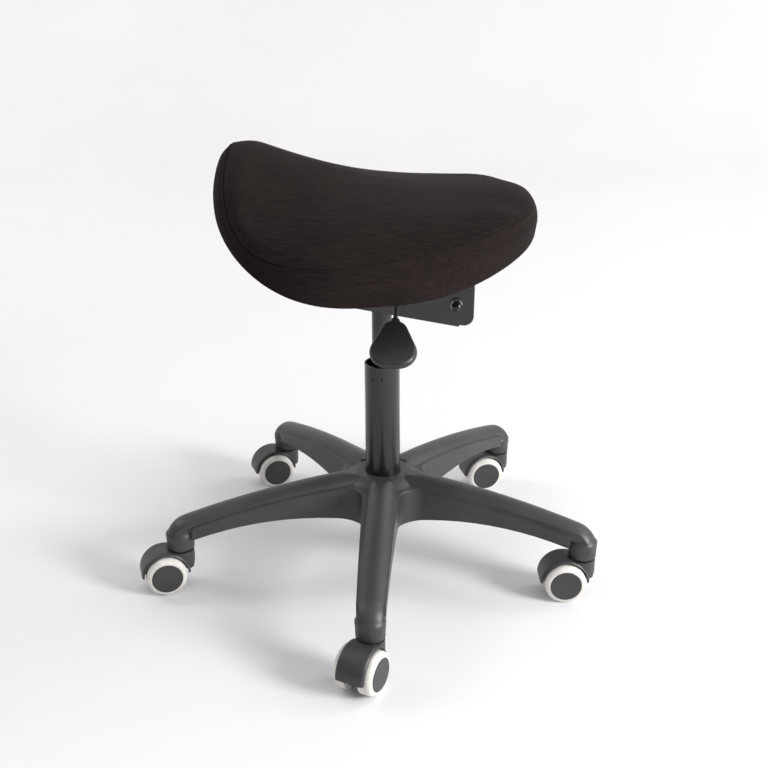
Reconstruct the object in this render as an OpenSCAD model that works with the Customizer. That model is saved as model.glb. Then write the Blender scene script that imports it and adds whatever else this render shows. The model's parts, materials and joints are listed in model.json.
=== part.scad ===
// Saddle stool: five-arm base on twin-wheel castors, gas lift, tilting saddle seat.
// Millimetres, +Z up. The origin is on the floor under the column, and the sitter faces +X.

/* [Base] */
// Distance from the column's axis to each castor stem
arm_reach = 300; // [280:2:330]
// Heading of the first arm, measured from +X
arm_heading = -93.2; // [-110:0.2:-80]
// Width of an arm's side walls at the castor end
arm_end_w = 38; // [34:1:42]
// Width of an arm's side walls 130 mm from the column's axis
arm_mid_w = 47; // [42:1:52]
// Width of the crown at an arm's tip
crown_w = 31.6; // [29:0.2:32]
// Radius of the crown across an arm
crown_r = 23.5; // [21:0.5:28]
// Height of the crown's ridge above the ledge beside it
crown_rise = 12; // [8:1:14]
// Width of the ledge beside the crown
crown_ledge = 2.5; // [1.5:0.5:4]
// Radius of the long arch of the arms' tops
arch_r = 1290; // [1100:10:1500]
// Height of the arch's highest point
arch_top = 151; // [146:1:158]
// Radius of the arch under the arms
under_r = 458; // [380:2:560]
// Height of the arch under the arms
under_top = 96; // [90:1:100]
// Fillet between neighbouring arms
web_fillet_r = 28; // [20:1:40]
// Wall of the moulded arms
arm_wall = 4; // [3:0.5:5]
// Thickness of the ribs under the arms
rib_t = 3; // [2:0.5:4]
// Height of the hub's top
hub_top = 146; // [144:1:150]
// Radius of the castor sockets' lower ends
socket_r = 19.2; // [17:0.2:20]
// Radius of the castor sockets' upper ends
socket_top_r = 20.5; // [18:0.5:22]

/* [Column] */
// Outer diameter of the column tube
column_d = 50; // [46:1:54]
// Wall of the column tube
column_wall = 2; // [1.5:0.5:3]
// Height of the column tube's open top
column_top = 314; // [300:1:320]
// Length of the guide bush in the column's mouth
bush_len = 84; // [60:2:100]
// Depth of the guide bush below the column's rim
bush_depth = 14; // [8:1:20]

/* [Gas spring] */
// Diameter of the gas cylinder
cylinder_d = 28; // [26:1:30]
// Wall of the gas cylinder
cylinder_wall = 2; // [1.5:0.5:3]
// Height of the cylinder's lower end at rest
cylinder_low = 175; // [172:1:190]
// Diameter of the piston rod
rod_d = 10; // [8:1:12]
// Travel of the lift above the rest height
lift_up = 47; // [20:1:50]
// Diameter of the release pin
pin_d = 8; // [6:1:9]

/* [Tilt mechanism] */
// Distance of the pivot bolt in front of the column's axis
pivot_x = 101; // [96:1:110]
// Height of the pivot bolt at rest
pivot_z = 412; // [408:1:416]
// Outer width of the upper bracket
bracket_w = 76; // [70:1:84]
// Thickness of the folded steel
sheet_t = 3; // [2:0.5:4]
// Length of the upper bracket
bracket_len = 246; // [236:2:260]
// Diameter of the pivot bolt
bolt_d = 8; // [6:1:10]
// Slope of the lower channel's floor
channel_slope = 11; // [9:0.5:13]
// Radius of the tilt clamp knob
knob_r = 22; // [18:1:26]

/* [Height lever] */
// Diameter of the lever rod
lever_d = 6; // [5:0.5:8]
// Distance of the lever in front of the column's axis
lever_x = 21; // [18:1:23]
// Reach of the lever's level part, from the column's axis
lever_reach = 100; // [85:1:110]
// Angle at which the lever drops towards its paddle
lever_drop = 30; // [20:1:40]
// Width of the paddle
paddle_w = 59; // [48:1:64]
// Length of the paddle
paddle_len = 73; // [66:1:84]
// Thickness of the paddle
paddle_t = 12; // [10:0.5:14]

/* [Seat] */
// Length of the seat from front to rear
seat_l = 427; // [400:1:450]
// Width of the seat at its middle
seat_w = 414; // [390:1:430]
// Height of the seat's middle at rest
seat_z = 575.5; // [570:0.5:582]
// Forward pitch of the seat at rest
seat_pitch = 11; // [8:0.5:13]
// Squareness of the seat's outline
seat_square = 2.55; // [2.2:0.05:2.8]
// Share by which the seat narrows towards its front
seat_taper = 0.18; // [0.1:0.01:0.25]
// Rise of the top at the rear end
rear_rise = 29; // [20:1:40]
// Rise of the top at the front end
front_rise = 37; // [25:1:45]
// Drop of the top at its side edges, half-way along
side_drop = 40; // [30:1:50]
// Foam over the middle of the shell
foam_mid = 45; // [35:1:52]
// Foam over the rim of the shell
foam_rim = 18; // [14:1:20]
// Foam skirt around the shell
foam_skirt = 14; // [10:1:18]
// Thickness of the seat shell
shell_t = 8; // [6:0.5:10]

/* [Castors] */
// Diameter of the wheels
wheel_d = 58; // [50:1:60]
// Distance of the axle behind the stem
castor_trail = 25; // [22:1:28]
// Width of a castor over its wheels' faces
castor_w = 56.8; // [52:0.2:60]
// Diameter of the wheels' dark faces
face_d = 44; // [38:1:46]
// Width of the hood over the wheels
hood_w = 41; // [37:1:43]
// Height of the sockets' lower faces
socket_z = 63.5; // [62:0.5:66]
// Diameter of the castor stems
stem_d = 11; // [10:0.5:12]
// Diameter of the axles
axle_d = 6; // [5:0.5:8]

/* [Hidden] */
run_gap = 0.05;
body_gap = 0.3;
arm_names = ["right", "front_right", "front_left", "rear_left", "rear_right"];
// Heading of each castor's trail at rest, measured from +X
castor_headings = [-117.6, 181.2, 193.4, 200.1, 196.2];
castor_parts = ["hood", "pins", "wheel_core_a", "tyre_a", "wheel_core_b", "tyre_b"];

// Base
arm_count = len(arm_names);
arm_step = 360 / arm_count;
arm_mid_x = 130;
arm_end_x = arm_reach - socket_r + 4;
arm_flare = atan((arm_mid_w - arm_end_w) / 2 / (arm_end_x - arm_mid_x));
arm_root = arm_mid_w / 2 + arm_mid_x * tan(arm_flare);
web_x = (web_fillet_r / cos(arm_flare) + arm_root)
    / (sin(arm_step / 2) + cos(arm_step / 2) * tan(arm_flare));
web_steps = 10;
arch_x = -30;
arch_z = arch_top - arch_r;
under_x = 165;
crown_end_r = 36;
crown_edge = 8;
crown_depth = 32;
crown_half = crown_r - 0.4;
join_step = 0.05;
crown_tip = arm_reach + socket_top_r - 1;
socket_cap_r = 24;
socket_cap_z = arch_at(arm_reach) + 1 - socket_cap_r;
crown_turn = asin((crown_tip - crown_end_r - arch_x) / (arch_r - crown_end_r));
crown_start = asin((crown_half / sin(arm_step / 2) + 1 - arch_x) / arch_r);
crest_in = 60;
crest_fall = arch_at(crest_in) - arch_at(arm_end_x);
crest_r = (pow(arm_end_x, 2) - pow(crest_in, 2)) / (2 * crest_fall);
crest_z = arch_at(crest_in) - sqrt(pow(crest_r, 2) - pow(crest_in, 2));
under_steps = 12;
hub_r = column_d / 2 + 9;
hub_flat_r = hub_r + 2;
hub_low = 76;
hub_web_r = 66;
hub_skirt_r = 61;
hub_dish = 0.4;
bay_count = 5;

// Column and gas spring
column_r = column_d / 2;
column_taper = 1.2;
column_bore = column_r - column_wall;
plate_t = 3;
plate_top = hub_low + plate_t;
cylinder_r = cylinder_d / 2;
cylinder_bore = cylinder_r - cylinder_wall;
cylinder_top = pivot_z + 38;
cone_len = 48;
cone_drop = 0.8;
valve_len = 50;
rod_r = rod_d / 2;
rod_neck = rod_r - 1;
washer_t = 1.5;
washer_r = rod_r + 7;
ball_r = 2;
ball_circle = (rod_r + 2 + washer_r) / 2;
ball_count = 9;
ball_z = plate_top + washer_t + run_gap + ball_r;
upper_washer_z = ball_z + ball_r + run_gap;
shoulder_z = upper_washer_z + washer_t;
lower_washer_z = hub_low - body_gap - washer_t;
clip_t = 1.5;
rod_low = lower_washer_z - clip_t - 2;
lift_down = cylinder_low - shoulder_z - 11;
bumper_top = cylinder_low - lift_down - 1;
gland_len = 12;
piston_len = 12;
piston_z = cylinder_low + gland_len + lift_up + 6;

// Tilt mechanism
cheek_gap = 0.5;
channel_w = bracket_w - 2 * sheet_t - 2 * cheek_gap;
channel_wall_y = channel_w / 2;
floor_drop = 32;
floor_front = 10.3;
floor_rear = -135.7;
channel_top = cylinder_top + 2;
pivot_eye_r = 14;
socket_wall = 5;
edge_step = 0.5;
bolt_r = bolt_d / 2;
nut_flat = 1.6 * bolt_d + 0.4;
nut_h = 0.9 * bolt_d;
pivot_washer_t = 2;
bracket_y = bracket_w / 2;
nut_y = bracket_y + body_gap + pivot_washer_t;
knob_h = 18;
// Pivot seen from the pitched seat: s runs forward, n is square to the seat
pivot_s = pivot_x * cos(seat_pitch) + (seat_z - pivot_z) * sin(seat_pitch);
pivot_n = pivot_x * sin(seat_pitch) - (seat_z - pivot_z) * cos(seat_pitch);
cheek_front = pivot_s + 20.4;
cheek_lean = 6.5;
cheek_corner_r = 13;
cheek_low = pivot_n - 28;
cheek_rear = pivot_s - 68;
flange_front = pivot_s - 118;
flange_h = 12;
bracket_rear = cheek_front - bracket_len;
bracket_top = -80;
screw_rows = [bracket_rear + 20, pivot_s - 25];
screw_y = 62;
screw_r = 3;
insert_r = 5;
insert_len = 15;
boss_r = 11;

// Height lever
pin_top = cylinder_top + 8;
pin_travel = 3;
lever_r = lever_d / 2;
lever_z = pin_top + body_gap + lever_r + 1.2;
lever_y = -27;
lever_lean = 7;
bend_r = 15;
bend_run = bend_r * tan(lever_drop / 2);
lever_pin_r = 1.5;
lug_t = 2.5;
grip_start = 65;
grip_bore = 30;
paddle_top_r = 17;
paddle_low_r = 24;
paddle_neck = 2;
paddle_neck_r = 6;

// Seat
seat_stations = 48;
// Skirt depth, edge inset and edge fall at the front, front side, side, rear side and rear
skirt_depth = [63, 70, 73, 33, 50];
edge_inset = [52, 24, 25, 10, 56];
edge_fall = [46, 32, 52, 29, 44];
drop_front = 18;
drop_rear = 145;
drop_power = 1.6;
skirt_share = 0.56;
lip_rise = 3;

// Castors
wheel_r = wheel_d / 2;
face_r = face_d / 2;
castor_y = castor_w / 2;
web_y = 6.5;
wheel_in = web_y + 0.7;
tyre_t = 5.5;
tyre_in = wheel_in + 2.3;
tyre_out = castor_y - 2.9;
axle_r = axle_d / 2;
cowl_gap = 2.2;
cowl_t = 3.4;
cowl_r = wheel_r + cowl_gap + cowl_t;
housing_r = socket_r - 0.5;
housing_low = 34;
neck_t = 3.5;
hood_top = socket_z - neck_t;
stem_r = stem_d / 2;
shank_r = stem_r - 1.5;
shank_low = 40;
stem_top = socket_z + 22;
ring_z = stem_top - 9;
ring_h = 4;
ring_r = stem_r + 0.7;

function arch_at(r) = arch_z + sqrt(pow(arch_r - crown_rise, 2) - pow(r - arch_x, 2));
function under_at(r) = under_top - under_r + sqrt(pow(under_r, 2) - pow(r - under_x, 2));
function spow(v, e) = sign(v) * pow(abs(v), e);
function total(v, i = 0) = i < len(v) ? v[i] + total(v, i + 1) : 0;
function turned(points, a) =
    [for (p = points) [p[0] * cos(a) - p[1] * sin(a), p[0] * sin(a) + p[1] * cos(a)]];
function flat_list(lists) = [for (l = lists) for (v = l) v];

// Plan outline of the base: tapered arms joined by fillets, moved in by inset
function arm_side(x, inset) = arm_root - x * tan(arm_flare) - inset / cos(arm_flare);
function star_outline(inset, reach) = flat_list([for (i = [0:arm_count - 1]) turned(concat(
    [[reach, -arm_side(reach, inset)], [reach, arm_side(reach, inset)]],
    [for (k = [0:web_steps]) let (a = 270 - arm_flare - (108 - 2 * arm_flare) * k / web_steps)
        web_x * [cos(arm_step / 2), sin(arm_step / 2)]
        + (web_fillet_r + inset) * [cos(a), sin(a)]]), i * arm_step)]);

// Cosine curve through five values spaced evenly from 0 to 180 degrees
function end_half(i) = i == 0 || i == 4 ? 0.5 : 1;
function wave(v, m) = 0.5 * total([for (j = [0:4]) end_half(j) * v[j] * cos(45 * m * j)]);
function eased(v, a) = total([for (m = [0:4]) end_half(m) * wave(v, m) * cos(m * a)]);

// Seat outline and top surface, with the origin at the middle of the top
function rim_scale(t) =
    pow(pow(abs(cos(t)), seat_square) + pow(abs(sin(t)), seat_square), -1 / seat_square);
function rim_u(t) = cos(t) * rim_scale(t);
function rim_v(t) = sin(t) * rim_scale(t);
function rim(t) = [seat_l / 2 * rim_u(t), seat_w / 2 * rim_v(t) * (1 - seat_taper * rim_u(t))];
function rim_phase(t) =
    atan2(spow(rim_v(t), seat_square / 2), spow(rim_u(t), seat_square / 2));
function seat_rise(u) = (u < 0 ? rear_rise : front_rise) * u * u;
function seat_fall(u) = side_drop + (drop_front - drop_rear) / 2 * u
    + ((drop_front + drop_rear) / 2 - side_drop) * u * u;
function top_at(p) = let (u = p[0] / (seat_l / 2), v = p[1] / (seat_w / 2 * (1 - seat_taper * u)))
    seat_rise(u) - seat_fall(u) * pow(abs(v), drop_power);
function share(t, inset) = 1 - inset / norm(rim(t));
function rim_point(t, f, fall) = let (p = rim(t) * f) [p[0], p[1], top_at(p) - fall];
function inset_at(t) = max(foam_skirt, skirt_share * eased(edge_inset, rim_phase(t)));
function skirt_z(t) = top_at(rim(t)) - eased(skirt_depth, rim_phase(t));
function foam_at(g) = foam_mid + (foam_rim - foam_mid) * g * g;
function ring_angles() = [for (i = [0:seat_stations - 1]) 360 * i / seat_stations];

// Closed skin over a stack of rings, from a top centre down and round to a lower centre
module skin(top, rings, low, crossed = 0) {
    n = len(rings[0]);
    last = len(rings) * n + 1;
    polyhedron(
        points = concat([top], flat_list(rings), [low]),
        faces = concat(
            [for (i = [0:n - 1]) [0, 1 + (i + 1) % n, 1 + i]],
            flat_list([for (r = [0:len(rings) - 2]) for (i = [0:n - 1])
                let (a = 1 + r * n + i, b = 1 + r * n + (i + 1) % n)
                r < crossed ? [[a, b, a + n], [b, b + n, a + n]]
                    : [[a, b, b + n], [a, b + n, a + n]]]),
            [for (i = [0:n - 1]) [last, last - n + i, last - n + (i + 1) % n]]),
        convexity = 6);
}

module plate_2d(x0, x1, y0, y1, r) {
    translate([x0 + r, y0]) square([x1 - x0 - 2 * r, y1 - y0]);
    translate([x0, y0 + r]) square([x1 - x0, y1 - y0 - 2 * r]);
    for (x = [x0 + r, x1 - r], y = [y0 + r, y1 - r]) translate([x, y]) circle(r, $fn = 48);
}

module ring(z, h, r_in, r_out) {
    translate([0, 0, z]) difference() {
        cylinder(h = h, r = r_out, $fn = 96);
        translate([0, 0, -1]) cylinder(h = h + 2, r = r_in, $fn = 96);
    }
}

module each_arm() {
    for (i = [0:arm_count - 1]) rotate([0, 0, arm_heading + i * arm_step]) children();
}

module seat_frame() {
    translate([0, 0, seat_z]) rotate([0, seat_pitch, 0]) children();
}

module across(y) {
    translate([0, y, 0]) rotate([90, 0, 0]) children();
}

// Base
module under_profile() {
    polygon(concat(
        [[column_r - 2, arch_top], [column_r - 2, hub_low + 2], [hub_r - 4, hub_low + 2]],
        [for (k = [0:under_steps]) let (r = hub_r + 6 + (arm_end_x + 14 - hub_r) * k / under_steps)
            [r, under_at(r)]],
        [[arm_end_x + 20, arch_top]]));
}

module shoulder(inset, reach, drop) {
    intersection() {
        linear_extrude(arch_top) polygon(star_outline(inset, reach));
        translate([0, 0, crest_z]) sphere(r = crest_r - drop, $fn = 720);
    }
}

module star_solid() {
    intersection() {
        shoulder(0, arm_end_x, 0);
        rotate_extrude($fn = 180) under_profile();
    }
}

module crown_section(r, half, depth) {
    intersection() {
        translate([r - crown_r, 0]) circle(crown_r, $fn = 120);
        translate([r - depth, -half]) square([depth + 1, 2 * half]);
    }
}

module crown_band() {
    translate([arch_x, 0, arch_z]) rotate([0, crown_turn - 90, 0]) rotate([90, 0, 0])
        rotate_extrude(angle = crown_turn - crown_start, $fn = 1080)
        crown_section(arch_r, crown_half, crown_depth);
}

module crown_tip_cap() {
    reach = arch_r - crown_end_r;
    translate([crown_tip - crown_end_r, 0, arch_z + reach * cos(crown_turn)]) rotate([90, 0, 0])
        rotate_extrude(angle = 92 - crown_turn, $fn = 180)
        crown_section(crown_end_r - join_step, crown_w / 2, crown_rise + crown_edge);
}

module crowns() {
    intersection() {
        union() each_arm() crown_band();
        rotate([0, 0, arm_heading]) linear_extrude(arch_top + 1)
            polygon(star_outline(crown_ledge, crown_tip));
        rotate_extrude($fn = 120) polygon([[0, 0], [2 * arm_reach, 0],
            [2 * arm_reach, arch_top + 2], [hub_skirt_r + 30, arch_top + 2],
            [hub_skirt_r, arch_at(hub_skirt_r) + crown_rise + 0.3],
            [hub_r, hub_top + 0.5], [0, hub_top + 0.5]]);
    }
    each_arm() crown_tip_cap();
}

module castor_socket() {
    translate([arm_reach, 0, 0]) intersection() {
        translate([0, 0, socket_z]) cylinder(h = socket_cap_z + socket_cap_r - socket_z,
            r1 = socket_r, r2 = socket_top_r, $fn = 96);
        translate([0, 0, socket_cap_z]) sphere(r = socket_cap_r, $fn = 96);
    }
}

module stem_bore() {
    translate([arm_reach, 0, socket_z - 1])
        cylinder(h = stem_top - socket_z + 3, r = stem_r + run_gap, $fn = 64);
    translate([arm_reach, 0, ring_z]) cylinder(h = ring_h, r = ring_r, $fn = 64);
}

module rib_pockets() {
    x_end = arm_end_x - 8;
    bay = (x_end - hub_web_r) / bay_count;
    for (b = [0:bay_count - 1], side = [-1, 1])
        translate([hub_web_r + b * bay + rib_t / 2, side < 0 ? -60 : rib_t / 2, 0])
            cube([bay - rib_t, 60 - rib_t / 2, arch_top]);
}

module hub_pockets() {
    difference() {
        cylinder(h = arch_top, r = hub_web_r - rib_t / 2, $fn = 96);
        cylinder(h = arch_top, r = hub_r, $fn = 96);
        for (i = [0:2 * arm_count - 1]) rotate([0, 0, i * arm_step / 2])
            translate([0, -rib_t / 2, 0]) cube([hub_web_r, rib_t, arch_top]);
    }
}

module hub_dome() {
    low = arch_at(hub_skirt_r) - 6;
    rotate_extrude($fn = 120) polygon(concat(
        [[column_r - column_taper - 3, hub_low], [hub_r, hub_low], [hub_r, under_top],
            [hub_skirt_r - 8, under_top + 26]],
        [for (t = [1:-1 / 6:0]) [hub_flat_r + (hub_skirt_r - hub_flat_r) * t,
            hub_top - (hub_top - low) * pow(t, 1.6)]],
        [[column_r - column_taper - 3, hub_top - hub_dish]]));
}

module star_base() {
    color([0.1, 0.1, 0.11]) difference() {
        union() {
            rotate([0, 0, arm_heading]) star_solid();
            crowns();
            each_arm() castor_socket();
            hub_dome();
        }
        rotate([0, 0, arm_heading]) intersection() {
            shoulder(arm_wall, arm_end_x - 6, arm_wall);
            union() {
                for (i = [0:arm_count - 1]) rotate([0, 0, i * arm_step]) rib_pockets();
                hub_pockets();
            }
        }
        each_arm() stem_bore();
        translate([0, 0, hub_low - 1]) cylinder(h = 2, r = column_r - column_taper, $fn = 120);
        translate([0, 0, hub_low]) cylinder(h = hub_top - hub_low,
            r1 = column_r - column_taper, r2 = column_r, $fn = 120);
        translate([0, 0, hub_top - 0.01]) cylinder(h = 20, r = column_r, $fn = 120);
    }
}

module castor_grip_rings() {
    color([0.6, 0.6, 0.62]) each_arm() translate([arm_reach, 0, 0]) difference() {
        ring(ring_z + 0.2, ring_h - 0.4, stem_r - 0.75, ring_r);
        translate([0, -1, ring_z]) cube([ring_r + 1, 2, ring_h]);
    }
}

// Column and gas spring
module column_tube() {
    color([0.07, 0.07, 0.08]) difference() {
        union() {
            translate([0, 0, hub_low]) cylinder(h = hub_top - hub_low,
                r1 = column_r - column_taper, r2 = column_r, $fn = 120);
            translate([0, 0, hub_top]) cylinder(h = column_top - hub_top, r = column_r, $fn = 120);
        }
        translate([0, 0, plate_top]) cylinder(h = hub_top - plate_top,
            r = column_bore - column_taper, $fn = 120);
        translate([0, 0, hub_top - 0.01])
            cylinder(h = column_top, r = column_bore, $fn = 120);
        translate([0, 0, hub_low - 1]) cylinder(h = plate_t + 2, r = rod_r + 1, $fn = 64);
        for (a = [-121.7, -93.7]) rotate([0, 0, a])
            translate([column_r + 1.8, 0, column_top - bush_depth - 3.5]) sphere(r = 3.3, $fn = 48);
    }
}

module guide_bush() {
    color([0.12, 0.12, 0.13]) ring(column_top - bush_depth - bush_len, bush_len,
        cylinder_r + run_gap, column_bore);
}

module bearing_lower_washer() {
    color([0.7, 0.7, 0.72]) ring(plate_top, washer_t, rod_r + 1, washer_r);
}

module bearing_cage() {
    color([0.75, 0.65, 0.4]) difference() {
        ring(ball_z - 0.8, 1.6, ball_circle - ball_r - 1, ball_circle + ball_r + 1);
        for (i = [0:ball_count - 1]) rotate([0, 0, i * 360 / ball_count])
            translate([ball_circle, 0, ball_z - 2])
            cylinder(h = 4, r = ball_r + run_gap, $fn = 48);
    }
}

module bearing_balls() {
    color([0.8, 0.8, 0.82]) for (i = [0:ball_count - 1]) rotate([0, 0, i * 360 / ball_count])
        translate([ball_circle, 0, ball_z]) sphere(r = ball_r, $fn = 32);
}

module rod_washers() {
    color([0.7, 0.7, 0.72]) {
        ring(upper_washer_z, washer_t, rod_neck, washer_r);
        ring(lower_washer_z, washer_t, rod_neck, rod_r + 4);
    }
}

module rod_clip() {
    color([0.5, 0.5, 0.52]) difference() {
        ring(lower_washer_z - clip_t, clip_t, rod_neck - 0.8, rod_r + 3);
        translate([0, -1.8, 0]) cube([rod_r + 4, 3.6, hub_low]);
    }
}

module piston_rod() {
    color([0.8, 0.8, 0.82]) difference() {
        union() {
            translate([0, 0, rod_low]) cylinder(h = shoulder_z - rod_low, r = rod_neck, $fn = 64);
            translate([0, 0, shoulder_z])
                cylinder(h = piston_z - shoulder_z, r = rod_r, $fn = 64);
            translate([0, 0, piston_z])
                cylinder(h = piston_len + 2, r = rod_neck, $fn = 64);
        }
        ring(lower_washer_z - clip_t, clip_t, rod_neck - 0.8, rod_r + 3);
    }
}

module piston() {
    color([0.75, 0.7, 0.5]) difference() {
        ring(piston_z, piston_len, rod_neck, cylinder_bore - run_gap);
        ring(piston_z + 4.5, 3, cylinder_bore - 2, cylinder_r);
    }
}

module rod_bumper() {
    color([0.15, 0.15, 0.15]) ring(shoulder_z + body_gap, bumper_top - shoulder_z - body_gap,
        rod_r + body_gap, washer_r + 1);
}

module cylinder_outline() {
    translate([0, 0, cylinder_low])
        cylinder(h = cylinder_top - cone_len - cylinder_low, r = cylinder_r, $fn = 96);
    translate([0, 0, cylinder_top - cone_len])
        cylinder(h = cone_len, r1 = cylinder_r, r2 = cylinder_r - cone_drop, $fn = 96);
}

module gas_cylinder() {
    color([0.05, 0.05, 0.06]) difference() {
        cylinder_outline();
        translate([0, 0, cylinder_low - 1]) cylinder(
            h = cylinder_top - valve_len - cylinder_low + 1, r = cylinder_bore, $fn = 96);
        translate([0, 0, cylinder_top - 16]) cylinder(h = 17, r = pin_d / 2 + run_gap, $fn = 64);
    }
}

module cylinder_gland() {
    color([0.2, 0.2, 0.2]) ring(cylinder_low, gland_len, rod_r + run_gap, cylinder_bore);
}

module release_pin() {
    color([0.8, 0.8, 0.82]) {
        translate([0, 0, cylinder_top - 12]) cylinder(h = 18.5, r = pin_d / 2, $fn = 64);
        translate([0, 0, cylinder_top + 6.5])
            cylinder(h = pin_top - cylinder_top - 6.5, r1 = pin_d / 2, r2 = pin_d / 2 - 1.5, $fn = 64);
    }
}

// Tilt mechanism
function at_pivot(s, n) = [pivot_x + s * cos(channel_slope) + n * sin(channel_slope),
    pivot_z - s * sin(channel_slope) + n * cos(channel_slope)];

module channel_side() {
    linear_extrude(sheet_t) difference() {
        union() {
            polygon([at_pivot(floor_front, -floor_drop), at_pivot(floor_rear, -floor_drop),
                [at_pivot(floor_rear, -floor_drop)[0], channel_top],
                [pivot_x - 2 * pivot_eye_r, channel_top],
                [pivot_x + 0.9 * pivot_eye_r * cos(50), pivot_z + 0.9 * pivot_eye_r * sin(50)],
                [pivot_x + 0.9 * pivot_eye_r * cos(20), pivot_z - 0.9 * pivot_eye_r * sin(20)]]);
            translate([pivot_x, pivot_z]) circle(pivot_eye_r, $fn = 96);
        }
        translate([pivot_x, pivot_z]) circle(bolt_r + 0.1, $fn = 64);
    }
}

module lever_lugs() {
    y_in = channel_wall_y - 14;
    for (side = [-1, 1])
        translate([lever_x + side * (lever_r + body_gap + lug_t / 2) - lug_t / 2,
            -channel_wall_y, channel_top - 10])
            cube([lug_t, channel_wall_y - y_in, lever_z + lever_r + 1 - channel_top + 10]);
}

module lower_channel() {
    socket_low = cylinder_top - cone_len - 8;
    color([0.08, 0.08, 0.09]) difference() {
        union() {
            across(channel_wall_y) channel_side();
            across(-channel_wall_y + sheet_t) channel_side();
            translate([pivot_x, 0, pivot_z]) rotate([0, channel_slope, 0])
                translate([floor_rear + edge_step, edge_step - channel_wall_y, edge_step - floor_drop])
                cube([floor_front - floor_rear - 2 * edge_step, channel_w - 2 * edge_step, sheet_t]);
            lever_lugs();
            translate([0, 0, socket_low])
                cylinder(h = cylinder_top - 2 - socket_low, r = cylinder_r + socket_wall, $fn = 96);
        }
        cylinder_outline();
        lever_pin_shape(lever_pin_r, 12);
    }
}

module along_pivot(y0, y1, r) {
    translate([pivot_x, y0, pivot_z]) rotate([-90, 0, 0]) cylinder(h = y1 - y0, r = r, $fn = 64);
}

module pivot_bolt() {
    color([0.55, 0.55, 0.57]) along_pivot(-nut_y - nut_h - 1, nut_y + knob_h - 4, bolt_r);
}

module pivot_spacer() {
    inner = channel_wall_y - sheet_t - body_gap;
    color([0.6, 0.6, 0.62]) difference() {
        along_pivot(-inner, inner, bolt_r + 3);
        along_pivot(-inner - 1, inner + 1, bolt_r + 0.2);
    }
}

module pivot_washers() {
    color([0.6, 0.6, 0.62]) for (side = [-1, 1]) difference() {
        y = side > 0 ? bracket_y + body_gap : -nut_y;
        along_pivot(y, y + pivot_washer_t, bolt_d);
        along_pivot(y - 1, y + pivot_washer_t + 1, bolt_r);
    }
}

module pivot_cap_nut() {
    color([0.1, 0.1, 0.11]) difference() {
        translate([pivot_x, -nut_y, pivot_z]) rotate([90, 0, 0]) {
            cylinder(h = nut_h, r = nut_flat / 2 / cos(30), $fn = 6);
            translate([0, 0, nut_h]) intersection() {
                sphere(r = nut_flat / 2, $fn = 64);
                translate([0, 0, -1]) cylinder(h = nut_flat, r = nut_flat, $fn = 64);
            }
        }
        along_pivot(-nut_y - nut_h - 1, 0, bolt_r);
    }
}

module tilt_knob() {
    lobes = 6;
    color([0.08, 0.08, 0.09]) difference() {
        translate([pivot_x, nut_y + run_gap, pivot_z]) rotate([-90, 0, 0]) {
            cylinder(h = 5, r = knob_r * 0.45, $fn = 64);
            difference() {
                translate([0, 0, 5]) cylinder(h = knob_h - 5, r = knob_r, $fn = 96);
                for (i = [0:lobes - 1]) rotate([0, 0, i * 360 / lobes])
                    translate([knob_r * 1.12, 0, 4])
                    cylinder(h = knob_h, r = knob_r * 0.32, $fn = 64);
            }
        }
        along_pivot(0, nut_y + knob_h - 4, bolt_r);
    }
}

module cheek_2d() {
    nose = [cheek_front + cheek_lean - cheek_corner_r, cheek_low + cheek_corner_r];
    heel = [cheek_rear + 8, cheek_low + 8];
    polygon([[cheek_rear, bracket_top], [cheek_front - 7, bracket_top],
        each [for (a = [10:-10:-90]) nose + cheek_corner_r * [cos(a), sin(a)]],
        each [for (a = [-90:-15:-180]) heel + 8 * [cos(a), sin(a)]]]);
}

module upper_cheek() {
    linear_extrude(sheet_t) difference() {
        union() {
            cheek_2d();
            plate_2d(bracket_rear, flange_front, bracket_top - flange_h, bracket_top - 1, 4);
        }
        translate([pivot_s, pivot_n]) circle(bolt_r + run_gap, $fn = 64);
    }
}

module upper_bracket() {
    color([0.08, 0.08, 0.09]) seat_frame() difference() {
        union() {
            across(bracket_y) upper_cheek();
            across(-bracket_y + sheet_t) upper_cheek();
            translate([0, 0, bracket_top - sheet_t]) linear_extrude(sheet_t) union() {
                plate_2d(bracket_rear, cheek_front, -bracket_y, bracket_y, 5);
                for (s = screw_rows)
                    plate_2d(s - 15, s + 15, -screw_y - 13, screw_y + 13, 8);
            }
        }
        each_screw() translate([0, 0, bracket_top - 10])
            cylinder(h = 20, r = screw_r + 0.4, $fn = 48);
    }
}

module each_screw() {
    for (s = screw_rows, y = [-screw_y, screw_y]) translate([s, y, 0]) children();
}

// Height lever
module lever_pin_shape(r, half) {
    translate([lever_x - half, lever_y, lever_z]) rotate([0, 90, 0])
        cylinder(h = 2 * half, r = r, $fn = 32);
}

module lever_frame() {
    translate([lever_x, -lever_reach, lever_z]) rotate([0, lever_lean, 0])
        rotate([lever_drop, 0, 0]) children();
}

module height_lever() {
    color([0.3, 0.3, 0.32]) difference() {
        union() {
            translate([lever_x, 4, lever_z]) rotate([90, 0, 0])
                cylinder(h = lever_reach + 4.3 - bend_run, r = lever_r, $fn = 48);
            translate([lever_x, bend_run - lever_reach, lever_z]) rotate([0, lever_lean, 0])
                translate([0, 0, -bend_r]) rotate([90, 0, 90]) rotate([0, 0, 90])
                rotate_extrude(angle = lever_drop, $fn = 96)
                translate([bend_r, 0]) circle(lever_r + join_step, $fn = 48);
            lever_frame() translate([0, 0.3 - bend_run, 0]) rotate([90, 0, 0])
                cylinder(h = grip_start + grip_bore + 0.3 - bend_run, r = lever_r, $fn = 48);
            translate([-5, -5, pin_top + body_gap]) cube([lever_x + 5, 8, 3]);
        }
        lever_pin_shape(lever_pin_r + run_gap, 12);
    }
}

module lever_pin() {
    color([0.7, 0.7, 0.72]) lever_pin_shape(lever_pin_r, lever_r + body_gap + lug_t + 0.5);
}

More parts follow.
